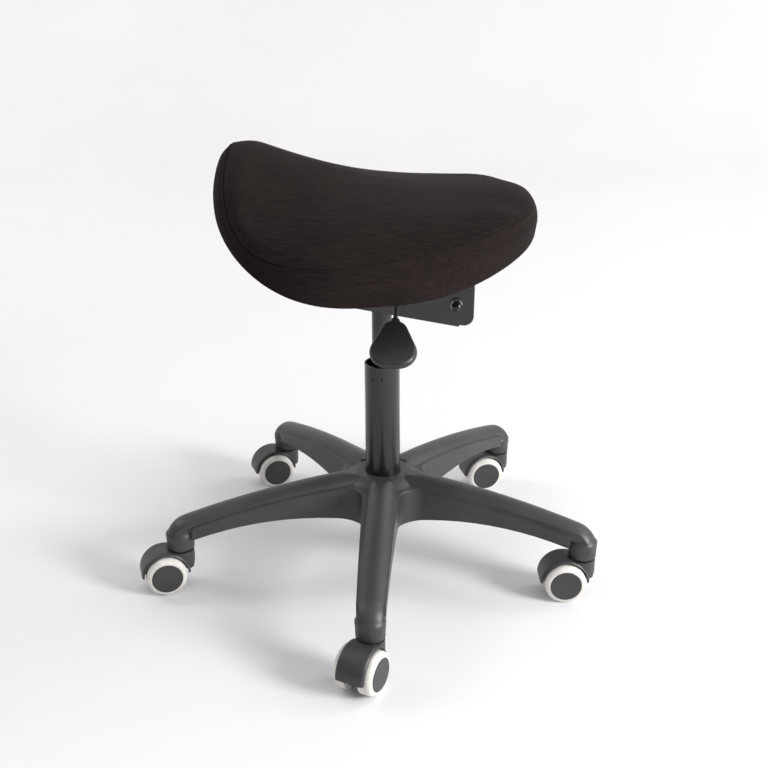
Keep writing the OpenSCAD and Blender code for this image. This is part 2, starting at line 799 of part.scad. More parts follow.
module pill(r, t) {
    rotate_extrude($fn = 32) intersection() {
        union() {
            translate([0, -t / 2]) square([r - t * 0.4, t]);
            translate([r - t * 0.4, 0]) scale([0.8, 1]) circle(t / 2, $fn = 24);
        }
        translate([0, -t]) square([r + 1, 2 * t]);
    }
}

module lever_paddle() {
    color([0.07, 0.07, 0.08]) lever_frame() translate([0, -grip_start, 0])
    rotate([0, -lever_lean * cos(lever_drop), 0]) difference() {
        union() {
            hull() {
                translate([0, -paddle_top_r, 0]) pill(paddle_top_r, paddle_t - 1);
                for (side = [-1, 1]) translate([side * (paddle_w / 2 - paddle_low_r),
                    paddle_low_r - paddle_len, 0]) pill(paddle_low_r, paddle_t);
            }
            translate([0, paddle_neck, 0]) rotate([90, 0, 0])
                cylinder(h = paddle_neck + 8, r = paddle_neck_r, $fn = 48);
        }
        translate([0, paddle_neck + 1, 0]) rotate([90, 0, 0])
            cylinder(h = grip_bore + paddle_neck + 1, r = lever_r, $fn = 48);
    }
}

// Seat
module seat_cushion() {
    ts = ring_angles();
    edge = edge_inset;
    color([0.06, 0.055, 0.055]) seat_frame() skin([0, 0, 0], concat(
        [for (g = [0.2, 0.45, 0.7, 0.88, 1])
            [for (t = ts) rim_point(t, g * share(t, eased(edge, rim_phase(t))), 0)]],
        [for (a = [18:18:90]) [for (t = ts) rim_point(t,
            share(t, eased(edge, rim_phase(t)) * (1 - sin(a))),
            eased(edge_fall, rim_phase(t)) * (1 - cos(a)))]],
        [[for (t = ts) concat(rim(t), [skirt_z(t)])],
            [for (t = ts) concat(rim(t) * share(t, inset_at(t)), [skirt_z(t) + lip_rise])]],
        [for (g = [1, 0.75, 0.5, 0.25])
            [for (t = ts) rim_point(t, g * share(t, inset_at(t)), foam_at(g))]]),
        [0, 0, -foam_mid]);
}

function panel_z(t, f, g) = top_at(rim(t) * f) - foam_at(g) - body_gap - shell_t;
function reach_of(p) = let (u = p[0] / (seat_l / 2), v = p[1] / (seat_w / 2 * (1 - seat_taper * u)))
    pow(pow(abs(u), seat_square) + pow(abs(v), seat_square), 1 / seat_square);
function panel_mid(p) = top_at(p) - foam_at(1.08 * reach_of(p)) - body_gap - shell_t / 2;
function flange_low(t, f) = min(skirt_z(t) + lip_rise + 1, panel_z(t, f, 1) - 1);

module shell_body() {
    ts = ring_angles();
    out = [for (t = ts) share(t, inset_at(t) + body_gap)];
    in = [for (t = ts) share(t, inset_at(t) + body_gap + shell_t)];
    k = [0:len(ts) - 1];
    skin([0, 0, -foam_mid - body_gap], concat(
        [for (g = [0.25, 0.5, 0.75, 1])
            [for (i = k) rim_point(ts[i], g * out[i], foam_at(g) + body_gap)]],
        [[for (i = k) concat(rim(ts[i]) * out[i], [flange_low(ts[i], in[i])])],
            [for (i = k) concat(rim(ts[i]) * in[i], [flange_low(ts[i], in[i])])]],
        [for (g = [1, 0.75, 0.5, 0.25])
            [for (i = k) concat(rim(ts[i]) * in[i] * g, [panel_z(ts[i], in[i] * g, g)])]]),
        [0, 0, -foam_mid - body_gap - shell_t], crossed = 3);
}

module seat_shell() {
    color([0.1, 0.1, 0.11]) seat_frame() difference() {
        union() {
            shell_body();
            for (s = screw_rows, y = [-screw_y, screw_y]) translate([s, y, bracket_top])
                cylinder(h = panel_mid([s, y]) - bracket_top, r = boss_r, $fn = 64);
        }
        each_screw() translate([0, 0, bracket_top - 1])
            cylinder(h = insert_len + 1, r = insert_r, $fn = 48);
    }
}

module seat_inserts() {
    color([0.75, 0.65, 0.35]) seat_frame() each_screw()
        ring(bracket_top, insert_len, screw_r, insert_r);
}

module seat_screws() {
    color([0.55, 0.55, 0.57]) seat_frame() each_screw() {
        translate([0, 0, bracket_top - sheet_t])
            cylinder(h = sheet_t + insert_len - 3, r = screw_r, $fn = 48);
        translate([0, 0, bracket_top - sheet_t - 4])
            cylinder(h = 4, r = 5 / cos(30), $fn = 6);
    }
}

// Castors, modelled with the stem on the Z axis and the wheels behind it
module at_castor(i) {
    a = arm_heading + i * arm_step;
    translate([arm_reach * cos(a), arm_reach * sin(a), 0])
        rotate([0, 0, castor_headings[i] + 180]) children();
}

module on_axle(side) {
    translate([-castor_trail, 0, wheel_r]) rotate([-90 * side, 0, 0]) children();
}

module hood_section() {
    round_r = 5;
    square([cowl_r - round_r, hood_w / 2]);
    square([cowl_r, hood_w / 2 - round_r]);
    translate([cowl_r - round_r, hood_w / 2 - round_r]) circle(round_r, $fn = 48);
}

module castor_hood(i) {
    color([0.11, 0.11, 0.12]) at_castor(i) difference() {
        union() {
            difference() {
                union() {
                    for (side = [-1, 1]) on_axle(side) rotate_extrude($fn = 96) hood_section();
                    intersection() {
                        translate([0, 0, housing_low])
                            cylinder(h = hood_top - housing_low, r = housing_r, $fn = 96);
                        translate([housing_r - cowl_r - 2, hood_w, hood_top - 9])
                            rotate([90, 0, 0]) cylinder(h = 2 * hood_w, r = cowl_r + 2, $fn = 96);
                    }
                }
                for (side = [-1, 1]) on_axle(side) translate([0, 0, web_y])
                    cylinder(h = hood_w, r = wheel_r + cowl_gap, $fn = 96);
                translate([-100, -50, -wheel_r]) cube([200, 100, 2 * wheel_r]);
            }
            on_axle(1) translate([0, 0, -web_y]) cylinder(h = 2 * web_y, r = 10, $fn = 64);
        }
        on_axle(1) translate([0, 0, -castor_w]) cylinder(h = 2 * castor_w, r = axle_r, $fn = 48);
        translate([0, 0, shank_low]) cylinder(h = 30, r = shank_r, $fn = 48);
    }
}

module castor_pins(i) {
    axle_y = castor_y - 3.6;
    color([0.7, 0.7, 0.72]) at_castor(i) {
        on_axle(1) translate([0, 0, -axle_y]) cylinder(h = 2 * axle_y, r = axle_r, $fn = 48);
        difference() {
            union() {
                translate([0, 0, shank_low])
                    cylinder(h = hood_top - shank_low, r = shank_r, $fn = 48);
                translate([0, 0, hood_top]) cylinder(h = neck_t - 0.6, r = stem_r + 4, $fn = 64);
                translate([0, 0, hood_top])
                    cylinder(h = stem_top - hood_top, r = stem_r, $fn = 64);
            }
            ring(ring_z - 0.2, ring_h + 0.4, stem_r - 1, stem_r + 1);
        }
    }
}

module core_section() {
    rim_r = wheel_r - tyre_t;
    polygon([[axle_r + run_gap, wheel_in], [axle_r + 4.5, wheel_in],
        [axle_r + 4.5, castor_y - 5], [rim_r - 4, castor_y - 5], [rim_r - 4, tyre_in],
        [rim_r, tyre_in], [rim_r, tyre_out], [face_r, tyre_out + 1], [face_r, castor_y - 0.5],
        [face_r - 0.6, castor_y], [0, castor_y], [0, castor_y - 3.2],
        [axle_r + run_gap, castor_y - 3.2]]);
}

module wheel_core(i, side) {
    color([0.16, 0.16, 0.17]) at_castor(i) on_axle(side) rotate_extrude($fn = 96) core_section();
}

module tyre(i, side) {
    round_r = wheel_r - face_r;
    color([0.78, 0.77, 0.72]) at_castor(i) on_axle(side) rotate_extrude($fn = 96) difference() {
        union() {
            translate([face_r, tyre_in]) square([round_r, castor_y - 0.8 - round_r - tyre_in]);
            intersection() {
                translate([face_r, castor_y - 0.8 - round_r]) circle(round_r, $fn = 96);
                translate([face_r, tyre_in]) square([2 * round_r, castor_w]);
            }
        }
        square([wheel_r - tyre_t, tyre_out]);
        core_section();
    }
}

star_base();
castor_grip_rings();
column_tube();
guide_bush();
bearing_lower_washer();
bearing_cage();
bearing_balls();
rod_washers();
rod_clip();
piston_rod();
piston();
rod_bumper();
gas_cylinder();
cylinder_gland();
release_pin();
lower_channel();
pivot_bolt();
pivot_spacer();
pivot_washers();
pivot_cap_nut();
tilt_knob();
height_lever();
lever_pin();
lever_paddle();
upper_bracket();
seat_shell();
seat_inserts();
seat_screws();
seat_cushion();
for (i = [0:arm_count - 1]) {
    castor_hood(i);
    castor_pins(i);
    wheel_core(i, 1);
    tyre(i, 1);
    wheel_core(i, -1);
    tyre(i, -1);
}
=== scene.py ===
import json
import math

import bmesh
import bpy
from mathutils import Matrix, Vector
from mathutils.kdtree import KDTree


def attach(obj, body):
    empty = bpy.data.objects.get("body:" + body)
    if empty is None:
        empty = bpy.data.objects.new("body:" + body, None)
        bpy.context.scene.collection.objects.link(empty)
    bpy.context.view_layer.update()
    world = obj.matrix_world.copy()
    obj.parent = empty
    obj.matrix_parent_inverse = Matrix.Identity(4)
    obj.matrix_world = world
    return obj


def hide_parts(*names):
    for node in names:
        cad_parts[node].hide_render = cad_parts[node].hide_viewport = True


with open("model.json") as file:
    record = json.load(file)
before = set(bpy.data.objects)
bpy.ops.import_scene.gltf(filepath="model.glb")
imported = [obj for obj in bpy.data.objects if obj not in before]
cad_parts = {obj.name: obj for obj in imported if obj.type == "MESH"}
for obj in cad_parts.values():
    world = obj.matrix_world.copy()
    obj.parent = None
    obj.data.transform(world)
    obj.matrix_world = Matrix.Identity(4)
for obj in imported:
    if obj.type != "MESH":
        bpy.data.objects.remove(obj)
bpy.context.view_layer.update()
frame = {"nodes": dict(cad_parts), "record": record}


def place(obj):
    """Link a new object into the scene."""
    bpy.context.scene.collection.objects.link(obj)
    return obj


# ---------------------------------------------------------------- camera
CAMERA_LENS, CAMERA_SENSOR = 54.83, 36.0  # mm
CAMERA_ELEVATION, CAMERA_ROLL = math.radians(22.76), math.radians(-0.40)
CAMERA_TARGET, CAMERA_DISTANCE = Vector((0.0025, 0.0, 0.2805)), 1.664
CAMERA_CLIP = (0.05, 60)


def make_camera():
    data = bpy.data.cameras.new("camera")
    data.lens, data.sensor_width = CAMERA_LENS, CAMERA_SENSOR
    data.clip_start, data.clip_end = CAMERA_CLIP
    cam = place(bpy.data.objects.new("camera", data))
    back = Vector((0, -math.cos(CAMERA_ELEVATION), math.sin(CAMERA_ELEVATION)))
    cam.location = CAMERA_TARGET + back * CAMERA_DISTANCE
    tilt = Matrix.Rotation(math.pi / 2 - CAMERA_ELEVATION, 4, "X")
    cam.rotation_euler = (tilt @ Matrix.Rotation(CAMERA_ROLL, 4, "Z")).to_euler()
    bpy.context.scene.camera = cam


# ---------------------------------------------------------------- material nodes
BEVEL_SAMPLES = 6


class Graph:
    """A short way to write a material's nodes, on the object's own coordinates."""

    def __init__(self, name):
        self.mat = bpy.data.materials.new(name)
        self.mat.use_nodes = True
        self.tree = self.mat.node_tree
        self.tree.nodes.clear()
        self.out = self.add("ShaderNodeOutputMaterial")
        self.bsdf = self.add("ShaderNodeBsdfPrincipled")
        self.link(self.bsdf, "BSDF", self.out, "Surface")
        self.coord = self.add("ShaderNodeTexCoord")

    def add(self, kind, **props):
        node = self.tree.nodes.new(kind)
        for key, value in props.items():
            setattr(node, key, value)
        return node

    def link(self, node, output, target, socket):
        self.tree.links.new(node.outputs[output], target.inputs[socket])

    def set(self, node, **values):
        """Set sockets by name; an underscore stands for a space."""
        for key, value in values.items():
            node.inputs[key.replace("_", " ")].default_value = value
        return node

    def noise(self, scale, detail=2.0, rough=0.5, along=None):
        """Noise; along gives each axis its own scale, for grain and streaks."""
        node = self.set(self.add("ShaderNodeTexNoise"), Scale=scale, Detail=detail, Roughness=rough)
        if along:
            mapping = self.set(self.add("ShaderNodeMapping"), Scale=along)
            self.link(self.coord, "Object", mapping, "Vector")
            self.link(mapping, "Vector", node, "Vector")
        else:
            self.link(self.coord, "Object", node, "Vector")
        return node

    def math(self, operation, a, out_a, b, out_b):
        node = self.add("ShaderNodeMath", operation=operation)
        self.link(a, out_a, node, 0)
        self.link(b, out_b, node, 1)
        return node

    def ramp(self, src, out, *stops):
        node = self.add("ShaderNodeValToRGB")
        while len(node.color_ramp.elements) < len(stops):
            node.color_ramp.elements.new(0.5)
        for element, (position, colour) in zip(node.color_ramp.elements, stops):
            element.position = position
            element.color = (*colour, 1)
        self.link(src, out, node, "Fac")
        return node

    def tone(self, src, out, *stops):
        """The base colour, as a ramp over a texture."""
        self.link(self.ramp(src, out, *stops), "Color", self.bsdf, "Base Color")

    def span(self, src, out, low, high):
        node = self.set(self.add("ShaderNodeMapRange"), To_Min=low, To_Max=high)
        self.link(src, out, node, "Value")
        return node

    def rough(self, src, low, high):
        """The roughness, as a range over a noise."""
        self.link(self.span(src, "Fac", low, high), "Result", self.bsdf, "Roughness")

    def bump(self, src, out, strength, distance, after=None):
        node = self.set(self.add("ShaderNodeBump"), Strength=strength, Distance=distance)
        self.link(src, out, node, "Height")
        if after:
            self.link(after, "Normal", node, "Normal")
        return node

    def soft_edge(self, radius):
        return self.set(self.add("ShaderNodeBevel", samples=BEVEL_SAMPLES), Radius=radius)

    def done(self, normal):
        self.link(normal, "Normal", self.bsdf, "Normal")
        return self.mat


# ---------------------------------------------------------------- materials
# colours are linear RGB, darkest and lightest; depths and edge radii are in metres
def grained_plastic(name, dark, light, rough, grain=2600, depth=0.00006, strength=0.5,
                    edge=0.0008):
    """Spark-eroded moulded plastic, with a soft highlight along its edges."""
    g = Graph(name)
    g.tone(g.noise(14, 4, 0.6), "Fac", (0.3, dark), (0.7, light))
    g.rough(g.noise(60, 5, 0.7), rough - 0.07, rough + 0.09)
    return g.done(g.bump(g.noise(grain, 2, 0.6), "Fac", strength, depth, g.soft_edge(edge)))


def satin_enamel(name, dark, light, rough, coat=0.0):
    """Stoved enamel on steel, with a faint orange peel."""
    g = Graph(name)
    g.tone(g.noise(9, 3, 0.5), "Fac", (0.3, dark), (0.7, light))
    g.rough(g.noise(34, 4, 0.6), rough - 0.03, rough + 0.04)
    g.set(g.bsdf, Coat_Weight=coat, Coat_Roughness=0.12)
    return g.done(g.bump(g.noise(240, 2, 0.5), "Fac", 0.05, 0.00003))


def turned_metal(name, dark, light, rough):
    """Bare metal with turning marks round Z."""
    g = Graph(name)
    lines = g.noise(700, 3, 0.6, along=(1, 1, 60))
    g.tone(lines, "Fac", (0.3, dark), (0.7, light))
    g.set(g.bsdf, Metallic=1.0)
    g.rough(lines, rough - 0.06, rough + 0.08)
    return g.done(g.bump(lines, "Fac", 0.2, 0.00002))


def tread_rubber(name):
    """Pale soft tread, a little dirtier in patches."""
    g = Graph(name)
    soiled, usual, clean = (0.54, 0.52, 0.47), (0.72, 0.70, 0.66), (0.79, 0.775, 0.74)
    g.tone(g.noise(55, 5, 0.65), "Fac", (0.28, soiled), (0.55, usual), (0.8, clean))
    g.rough(g.noise(300, 3, 0.6), 0.5, 0.68)
    return g.done(g.bump(g.noise(1500, 2, 0.6), "Fac", 0.25, 0.00005))


def seat_fabric(name):
    """Near-black knit: fine crossed ribs, lengthways streaks, soft creasing and a little lint."""
    g = Graph(name)
    ribs = []
    for axis in "XY":
        wave = g.add("ShaderNodeTexWave", wave_type="BANDS", bands_direction=axis)
        g.set(wave, Scale=260, Distortion=1.6, Detail=2)
        g.link(g.coord, "Object", wave, "Vector")
        ribs.append(wave)
    knit = g.math("MULTIPLY", ribs[0], "Fac", ribs[1], "Fac")
    streak = g.noise(1, 4, 0.6, along=(45, 420, 420))
    shade = g.math("ADD", g.noise(7, 5, 0.6), "Fac", streak, "Fac")
    half = g.set(g.span(shade, 0, 0, 1), From_Max=2.0)
    dark, light = (0.0080, 0.0058, 0.0054), (0.0200, 0.0147, 0.0137)
    tone = g.ramp(half, "Result", (0.36, dark), (0.64, light))

    # lint: the middles of scattered cells, in some patches only
    black, white = (0, 0, 0), (1, 1, 1)
    cells = g.set(g.add("ShaderNodeTexVoronoi", feature="F1"), Scale=42, Randomness=1.0)
    g.link(g.coord, "Object", cells, "Vector")
    specks = g.ramp(cells, "Distance", (0.0, white), (0.026, black))
    patches = g.ramp(g.noise(11, 2, 0.5), "Fac", (0.56, black), (0.6, white))
    lint = g.math("MULTIPLY", specks, "Color", patches, "Color")
    mix = g.set(g.add("ShaderNodeMix", data_type="RGBA"), B=(0.22, 0.21, 0.20, 1))
    g.link(lint, 0, mix, "Factor")
    g.link(tone, "Color", mix, "A")
    g.link(mix, "Result", g.bsdf, "Base Color")

    g.rough(g.noise(120, 3, 0.6), 0.82, 0.95)
    g.set(g.bsdf, Specular_IOR_Level=0.06, Sheen_Weight=0.03, Sheen_Roughness=0.45,
          Sheen_Tint=(0.75, 0.66, 0.62, 1))
    creases = g.bump(g.noise(38, 4, 0.6), "Fac", 0.12, 0.0012)
    streaks = g.bump(streak, "Fac", 0.35, 0.0004, creases)
    return g.done(g.bump(knit, 0, 0.45, 0.00025, streaks))


def sewing_thread(name):
    g = Graph(name)
    dark, light = (0.009, 0.007, 0.0068), (0.019, 0.0152, 0.0145)
    g.tone(g.noise(900, 2, 0.5), "Fac", (0.35, dark), (0.65, light))
    g.rough(g.noise(400, 2, 0.5), 0.62, 0.78)
    g.set(g.bsdf, Specular_IOR_Level=0.15)
    return g.done(g.bump(g.noise(4000, 2, 0.5), "Fac", 0.3, 0.00005))


# name: maker, darkest colour, lightest colour, roughness, and what differs from the usual
FINISHES = {
    "base_nylon": (grained_plastic, (0.031, 0.029, 0.030), (0.045, 0.042, 0.043), 0.42,
                   dict(grain=2200, depth=0.0001, strength=0.55, edge=0.0042)),
    "hood_nylon": (grained_plastic, (0.029, 0.027, 0.028), (0.042, 0.039, 0.040), 0.42,
                   dict(depth=0.00007, edge=0.0014)),
    "black_nylon": (grained_plastic, (0.012, 0.012, 0.012), (0.022, 0.021, 0.021), 0.42,
                    dict(depth=0.00005, strength=0.4)),
    "paddle_plastic": (grained_plastic, (0.014, 0.013, 0.014), (0.022, 0.021, 0.022), 0.36,
                       dict(depth=0.00005, strength=0.4)),
    "shell_plastic": (grained_plastic, (0.018, 0.018, 0.018), (0.030, 0.029, 0.029), 0.5, {}),
    "bumper_rubber": (grained_plastic, (0.010, 0.010, 0.010), (0.018, 0.018, 0.018), 0.7, {}),
    "black_enamel": (satin_enamel, (0.008, 0.0075, 0.008), (0.015, 0.0142, 0.0148), 0.22,
                     dict(coat=0.06)),
    "rod_steel": (satin_enamel, (0.020, 0.020, 0.021), (0.032, 0.031, 0.031), 0.36, {}),
    "plated_steel": (turned_metal, (0.46, 0.46, 0.47), (0.62, 0.61, 0.60), 0.32, {}),
    "spring_steel": (turned_metal, (0.22, 0.22, 0.23), (0.34, 0.33, 0.33), 0.38, {}),
    "bearing_steel": (turned_metal, (0.66, 0.66, 0.67), (0.78, 0.78, 0.78), 0.14, {}),
    "brass": (turned_metal, (0.50, 0.36, 0.14), (0.64, 0.48, 0.22), 0.30, {}),
}


def make_materials():
    made = {name: make(name, dark, light, rough, **rest)
            for name, (make, dark, light, rough, rest) in FINISHES.items()}
    for make in (seat_fabric, sewing_thread):
        made[make.__name__] = make(make.__name__)
    made["pale_tread"] = tread_rubber("pale_tread")
    return made


def dress_nodes(materials):
    """Give every CAD node the material of its slot in the record."""
    slots = {part["node"]: part["material_slot"] for part in frame["record"]["subparts"]}
    for name, obj in frame["nodes"].items():
        want = materials[slots[name]]
        if not obj.material_slots:
            obj.data.materials.append(want)
        for slot in obj.material_slots:
            slot.material = want


# ---------------------------------------------------------------- seat form
# The formulas of part.scad's cushion, in metres on the seat's own axes: u goes from the
# rear (-1) to the nose (1), v from side to side.
SEAT_L, SEAT_W = 0.427, 0.414
TAPER, SQUARE = 0.18, 2.55
RISE_REAR, RISE_NOSE = 0.029, 0.037
FALL_REAR, FALL_MIDDLE, FALL_NOSE, FALL_POWER = 0.145, 0.040, 0.018, 1.6
SEAT_Z, SEAT_PITCH = 0.5755, math.radians(11)
# the edge's section at 0, 45, 90, 135 and 180 degrees from the nose
SIDE_DEPTH = (0.063, 0.070, 0.073, 0.033, 0.050)
ROUND_IN = (0.052, 0.024, 0.025, 0.010, 0.056)
ROUND_DOWN = (0.046, 0.032, 0.052, 0.029, 0.044)
UNDERSIDE = 0.040

# the cover: a crease above the band, which fades at the nose, and a seam below it
CREASE_AT = math.radians(51)
CREASE_UPPER, CREASE_LOWER = math.radians(26), math.radians(16)
STEEPEST = math.radians(96)
CREASE_LEAD = 0.028
CREASE_OPENS, FLANK_ENDS = (0.10, 0.60), (1.5, 2.5)  # radians from the nose
CREASE_REAR_SHARE = 0.25
UPPER_HANDLE, LOWER_HANDLE = 0.34, 0.36
SEAM_DROP, SEAM_NOSE, SEAM_REAR = 0.021, 0.004, 0.008
SEAM_FALLS, SEAM_RISES = (0.12, 0.75), (1.75, 2.7)  # radians from the nose
SEAM_NEAR = 0.009

# rows and columns of the mesh
COLUMNS, TOP_ROWS, EDGE_ROWS, BAND_ROWS = 360, 30, 12, 12
EDGE_CROWDING = 1.6
CURVE_STEPS, SIDE_STEPS = 16, 4
NEAR_LINE = (0.0007, 0.0016, 0.0032)  # rows this far from the crease and the seam
FOOT_LIFT = 0.004
FOOT_FOLD = ((0.0012, 0.0012), (0.005, 0.0006), (0.012, 0.003))  # inset and rise
UNDER_ROWS = (0.75, 0.5, 0.25)


def eased(stations, angle):
    """A smooth cosine series through values that lie 45 degrees apart."""
    last = len(stations) - 1
    halved = [0.5 if m in (0, last) else 1.0 for m in range(last + 1)]
    total = 0.0
    for m in range(last + 1):
        wave = 0.5 * sum(halved[j] * stations[j] * math.cos(math.radians(45) * m * j)
                         for j in range(last + 1))
        total += halved[m] * wave * math.cos(m * angle)
    return total


def smooth(low, high, x):
    t = min(1.0, max(0.0, (x - low) / (high - low)))
    return t * t * (3 - 2 * t)


def bezier(points, t):
    weights = ((1 - t) ** 3, 3 * t * (1 - t) ** 2, 3 * t * t * (1 - t), t ** 3)
    return tuple(sum(w * p[i] for w, p in zip(weights, points)) for i in (0, 1))


def signed_power(x, power):
    return math.copysign(abs(x) ** power, x)


def top_at(x, y):
    u = x / (SEAT_L / 2)
    v = y / (SEAT_W / 2 * (1 - TAPER * u))
    rise = (RISE_REAR if u < 0 else RISE_NOSE) * u * u
    fall = (FALL_MIDDLE + (FALL_NOSE - FALL_REAR) / 2 * u
            + ((FALL_NOSE + FALL_REAR) / 2 - FALL_MIDDLE) * u * u)
    return rise - fall * abs(v) ** FALL_POWER


def to_world(p):
    c, s = math.cos(SEAT_PITCH), math.sin(SEAT_PITCH)
    return Vector((p.x * c + p.z * s, p.y, SEAT_Z - p.x * s + p.z * c))


class Rim:
    """The outline and the edge's section in one direction, t radians from the nose."""

    def __init__(self, t):
        c, s = math.cos(t), math.sin(t)
        rho = (abs(c) ** SQUARE + abs(s) ** SQUARE) ** (-1 / SQUARE)
        u, v = c * rho, s * rho
        self.x, self.y = SEAT_L / 2 * u, SEAT_W / 2 * v * (1 - TAPER * u)
        around = math.atan2(signed_power(v, SQUARE / 2), signed_power(u, SQUARE / 2))
        self.depth = eased(SIDE_DEPTH, around)
        self.inward = eased(ROUND_IN, around)
        self.down = eased(ROUND_DOWN, around)
        self.reach = math.hypot(self.x, self.y)

    def at(self, share, fall=0.0):
        """A point this share of the way out, so far below the crowned top."""
        x, y = self.x * share, self.y * share
        return Vector((x, y, top_at(x, y) - fall))

    def share(self, inset):
        return 1 - inset / self.reach


class Column:
    """The cushion's section in one direction: top, edge, crease, band and foot."""

    def __init__(self, t):
        rim = self.rim = Rim(t)
        turn = abs(math.atan2(math.sin(t), math.cos(t)))
        self.fade = smooth(*CREASE_OPENS, turn)
        self.seam = SEAM_NOSE + (SEAM_DROP - SEAM_NOSE) * smooth(*SEAM_FALLS, turn)
        self.seam += (SEAM_REAR - self.seam) * smooth(*SEAM_RISES, turn)
        cut = (rim.inward * math.sin(CREASE_AT), rim.down * (1 - math.cos(CREASE_AT)))
        slope = math.atan2(rim.down * math.sin(CREASE_AT), rim.inward * math.cos(CREASE_AT))
        flank = 1 - smooth(*FLANK_ENDS, turn)
        share = CREASE_REAR_SHARE + (1 - CREASE_REAR_SHARE) * flank
        up = slope - CREASE_UPPER * self.fade * share
        down = min(STEEPEST, slope + CREASE_LOWER * self.fade)
        lead = CREASE_LEAD * self.fade * flank
        arm = math.hypot(cut[0] + lead, cut[1]) * UPPER_HANDLE
        self.upper = ((-lead, 0), (arm - lead, 0),
                      (cut[0] - arm * math.cos(up), cut[1] - arm * math.sin(up)), cut)
        arm = math.hypot(rim.inward - cut[0], rim.down - cut[1]) * LOWER_HANDLE
        self.lower = (cut, (cut[0] + arm * math.cos(down), cut[1] + arm * math.sin(down)),
                      (rim.inward, rim.down - arm), (rim.inward, rim.down))

    def point(self, out, fall):
        return self.rim.at(self.rim.share(self.rim.inward - out), fall)

    def band_path(self):
        """From the crease down the band to the foot, with the length so far at each point."""
        rim = self.rim
        path = [self.point(*bezier(self.lower, k / CURVE_STEPS)) for k in range(CURVE_STEPS + 1)]
        edge = rim.at(1.0)
        low, foot = edge.z - rim.down, edge.z - rim.depth + FOOT_LIFT
        path += [Vector((rim.x, rim.y, low + (foot - low) * k / SIDE_STEPS))
                 for k in range(1, SIDE_STEPS + 1)]
        runs = [0.0]
        for p, q in zip(path, path[1:]):
            runs.append(runs[-1] + (q - p).length)
        return path, runs

    def band_stops(self, length):
        """Lengths along the band for its rows, close together at the crease and the seam."""
        near = min(1.0, self.seam / SEAM_NEAR)
        stops = [d * near for d in NEAR_LINE]
        stops += [self.seam * 0.5]
        stops += [self.seam - d * near for d in reversed(NEAR_LINE)] + [self.seam]
        stops += [self.seam + d for d in NEAR_LINE]
        last = stops[-1]
        return stops + [last + (length - last) * k / BAND_ROWS for k in range(1, BAND_ROWS + 1)]

    def rows(self):
        """The whole section, with the numbers of the crease's row and the seam's row."""
        rim = self.rim
        inner = rim.share(rim.inward - self.upper[0][0])
        rows = [rim.at(k / TOP_ROWS * inner) for k in range(1, TOP_ROWS + 1)]
        for k in range(1, EDGE_ROWS + 1):
            t = 1 - (1 - k / EDGE_ROWS) ** EDGE_CROWDING
            rows.append(self.point(*bezier(self.upper, t)))
        crease_row = len(rows) - 1
        seam_row = crease_row + 2 * len(NEAR_LINE) + 2
        path, runs = self.band_path()
        for s in self.band_stops(runs[-1]):
            j = max(i for i in range(len(runs)) if runs[i] <= s + 1e-9)
            if j == len(runs) - 1:
                rows.append(path[-1].copy())
                continue
            f = (s - runs[j]) / (runs[j + 1] - runs[j])
            rows.append(path[j].lerp(path[j + 1], f))
        edge = rim.at(1.0)
        for inset, rise in FOOT_FOLD:
            f = rim.share(inset)
            rows.append(Vector((rim.x * f, rim.y * f, edge.z - rim.depth + rise)))
        return rows, crease_row, seam_row


class SeatForm:
    """A closed cushion mesh; its rows run from the middle of the top to that of the underside."""

    def __init__(self, name):
        self.columns = [Column(2 * math.pi * i / COLUMNS) for i in range(COLUMNS)]
        stacks = []
        for column in self.columns:
            rows, self.crease_row, self.seam_row = column.rows()
            self.foot_row = len(rows) - len(FOOT_FOLD)
            foot = rows[-1]
            for f in UNDER_ROWS:
                x, y = foot.x * f, foot.y * f
                rows.append(Vector((x, y, top_at(x, y) - UNDERSIDE)))
            stacks.append(rows)
        self.mesh = bpy.data.meshes.new(name)
        self.mesh.from_pydata(*self.skin(stacks))
        self.mesh.update()
        for face in self.mesh.polygons:
            face.use_smooth = True
        self.obj = place(bpy.data.objects.new(name, self.mesh))

    def skin(self, stacks):
        count = len(stacks[0])
        verts = [to_world(Vector((0, 0, 0)))]
        for row in range(count):
            verts += [to_world(stack[row]) for stack in stacks]
        verts.append(to_world(Vector((0, 0, -UNDERSIDE))))
        ring = range(COLUMNS)
        faces = [(0, self.index(0, i), self.index(0, i + 1)) for i in ring]
        for row in range(count - 1):
            faces += [(self.index(row, i), self.index(row + 1, i),
                       self.index(row + 1, i + 1), self.index(row, i + 1)) for i in ring]
        faces += [(len(verts) - 1, self.index(count - 1, i + 1), self.index(count - 1, i))
                  for i in ring]
        return verts, [], faces

    @staticmethod
    def index(row, i):
        return 1 + row * COLUMNS + i % COLUMNS

    @staticmethod
    def row_of(index):
        return (index - 1) // COLUMNS


# ---------------------------------------------------------------- cushion
VOXEL = 0.006
START_IN = 0.0025  # the pad starts this much smaller, because it swells
SWELL_CAP, SWELL_SHARE = 0.005, 0.5
PRESSURE, CLOTH_FRAMES, CLOTH_QUALITY = 4.0, 20, 5
STRETCH_STIFF, SHEAR_STIFF, BEND_STIFF = 25, 12, 4
NEIGHBOURS, BLUR, LEAST_WEIGHT = 90, 0.019, 1e-6

# how far each row beside the line moves, from the line itself outwards
PINCH = (-0.0015, -0.0008, 0.0006, 0.0004)
STITCHED = (-0.0005, -0.0003, 0.0003, 0.0002)
STITCHED_FROM = (0.003, 0.008)

STITCH_PITCH, STITCH_LENGTH, STITCH_RADIUS = 0.0046, 0.0032, 0.00036
STITCH_RISE, STITCH_SINK = 0.00035, 0.0001
STITCH_RINGS, STITCH_SIDES, STITCH_END = 7, 8, 0.06
STITCH_FADE, STITCH_SEAM = 0.9, 0.0065  # no thread where the crease or the seam runs out


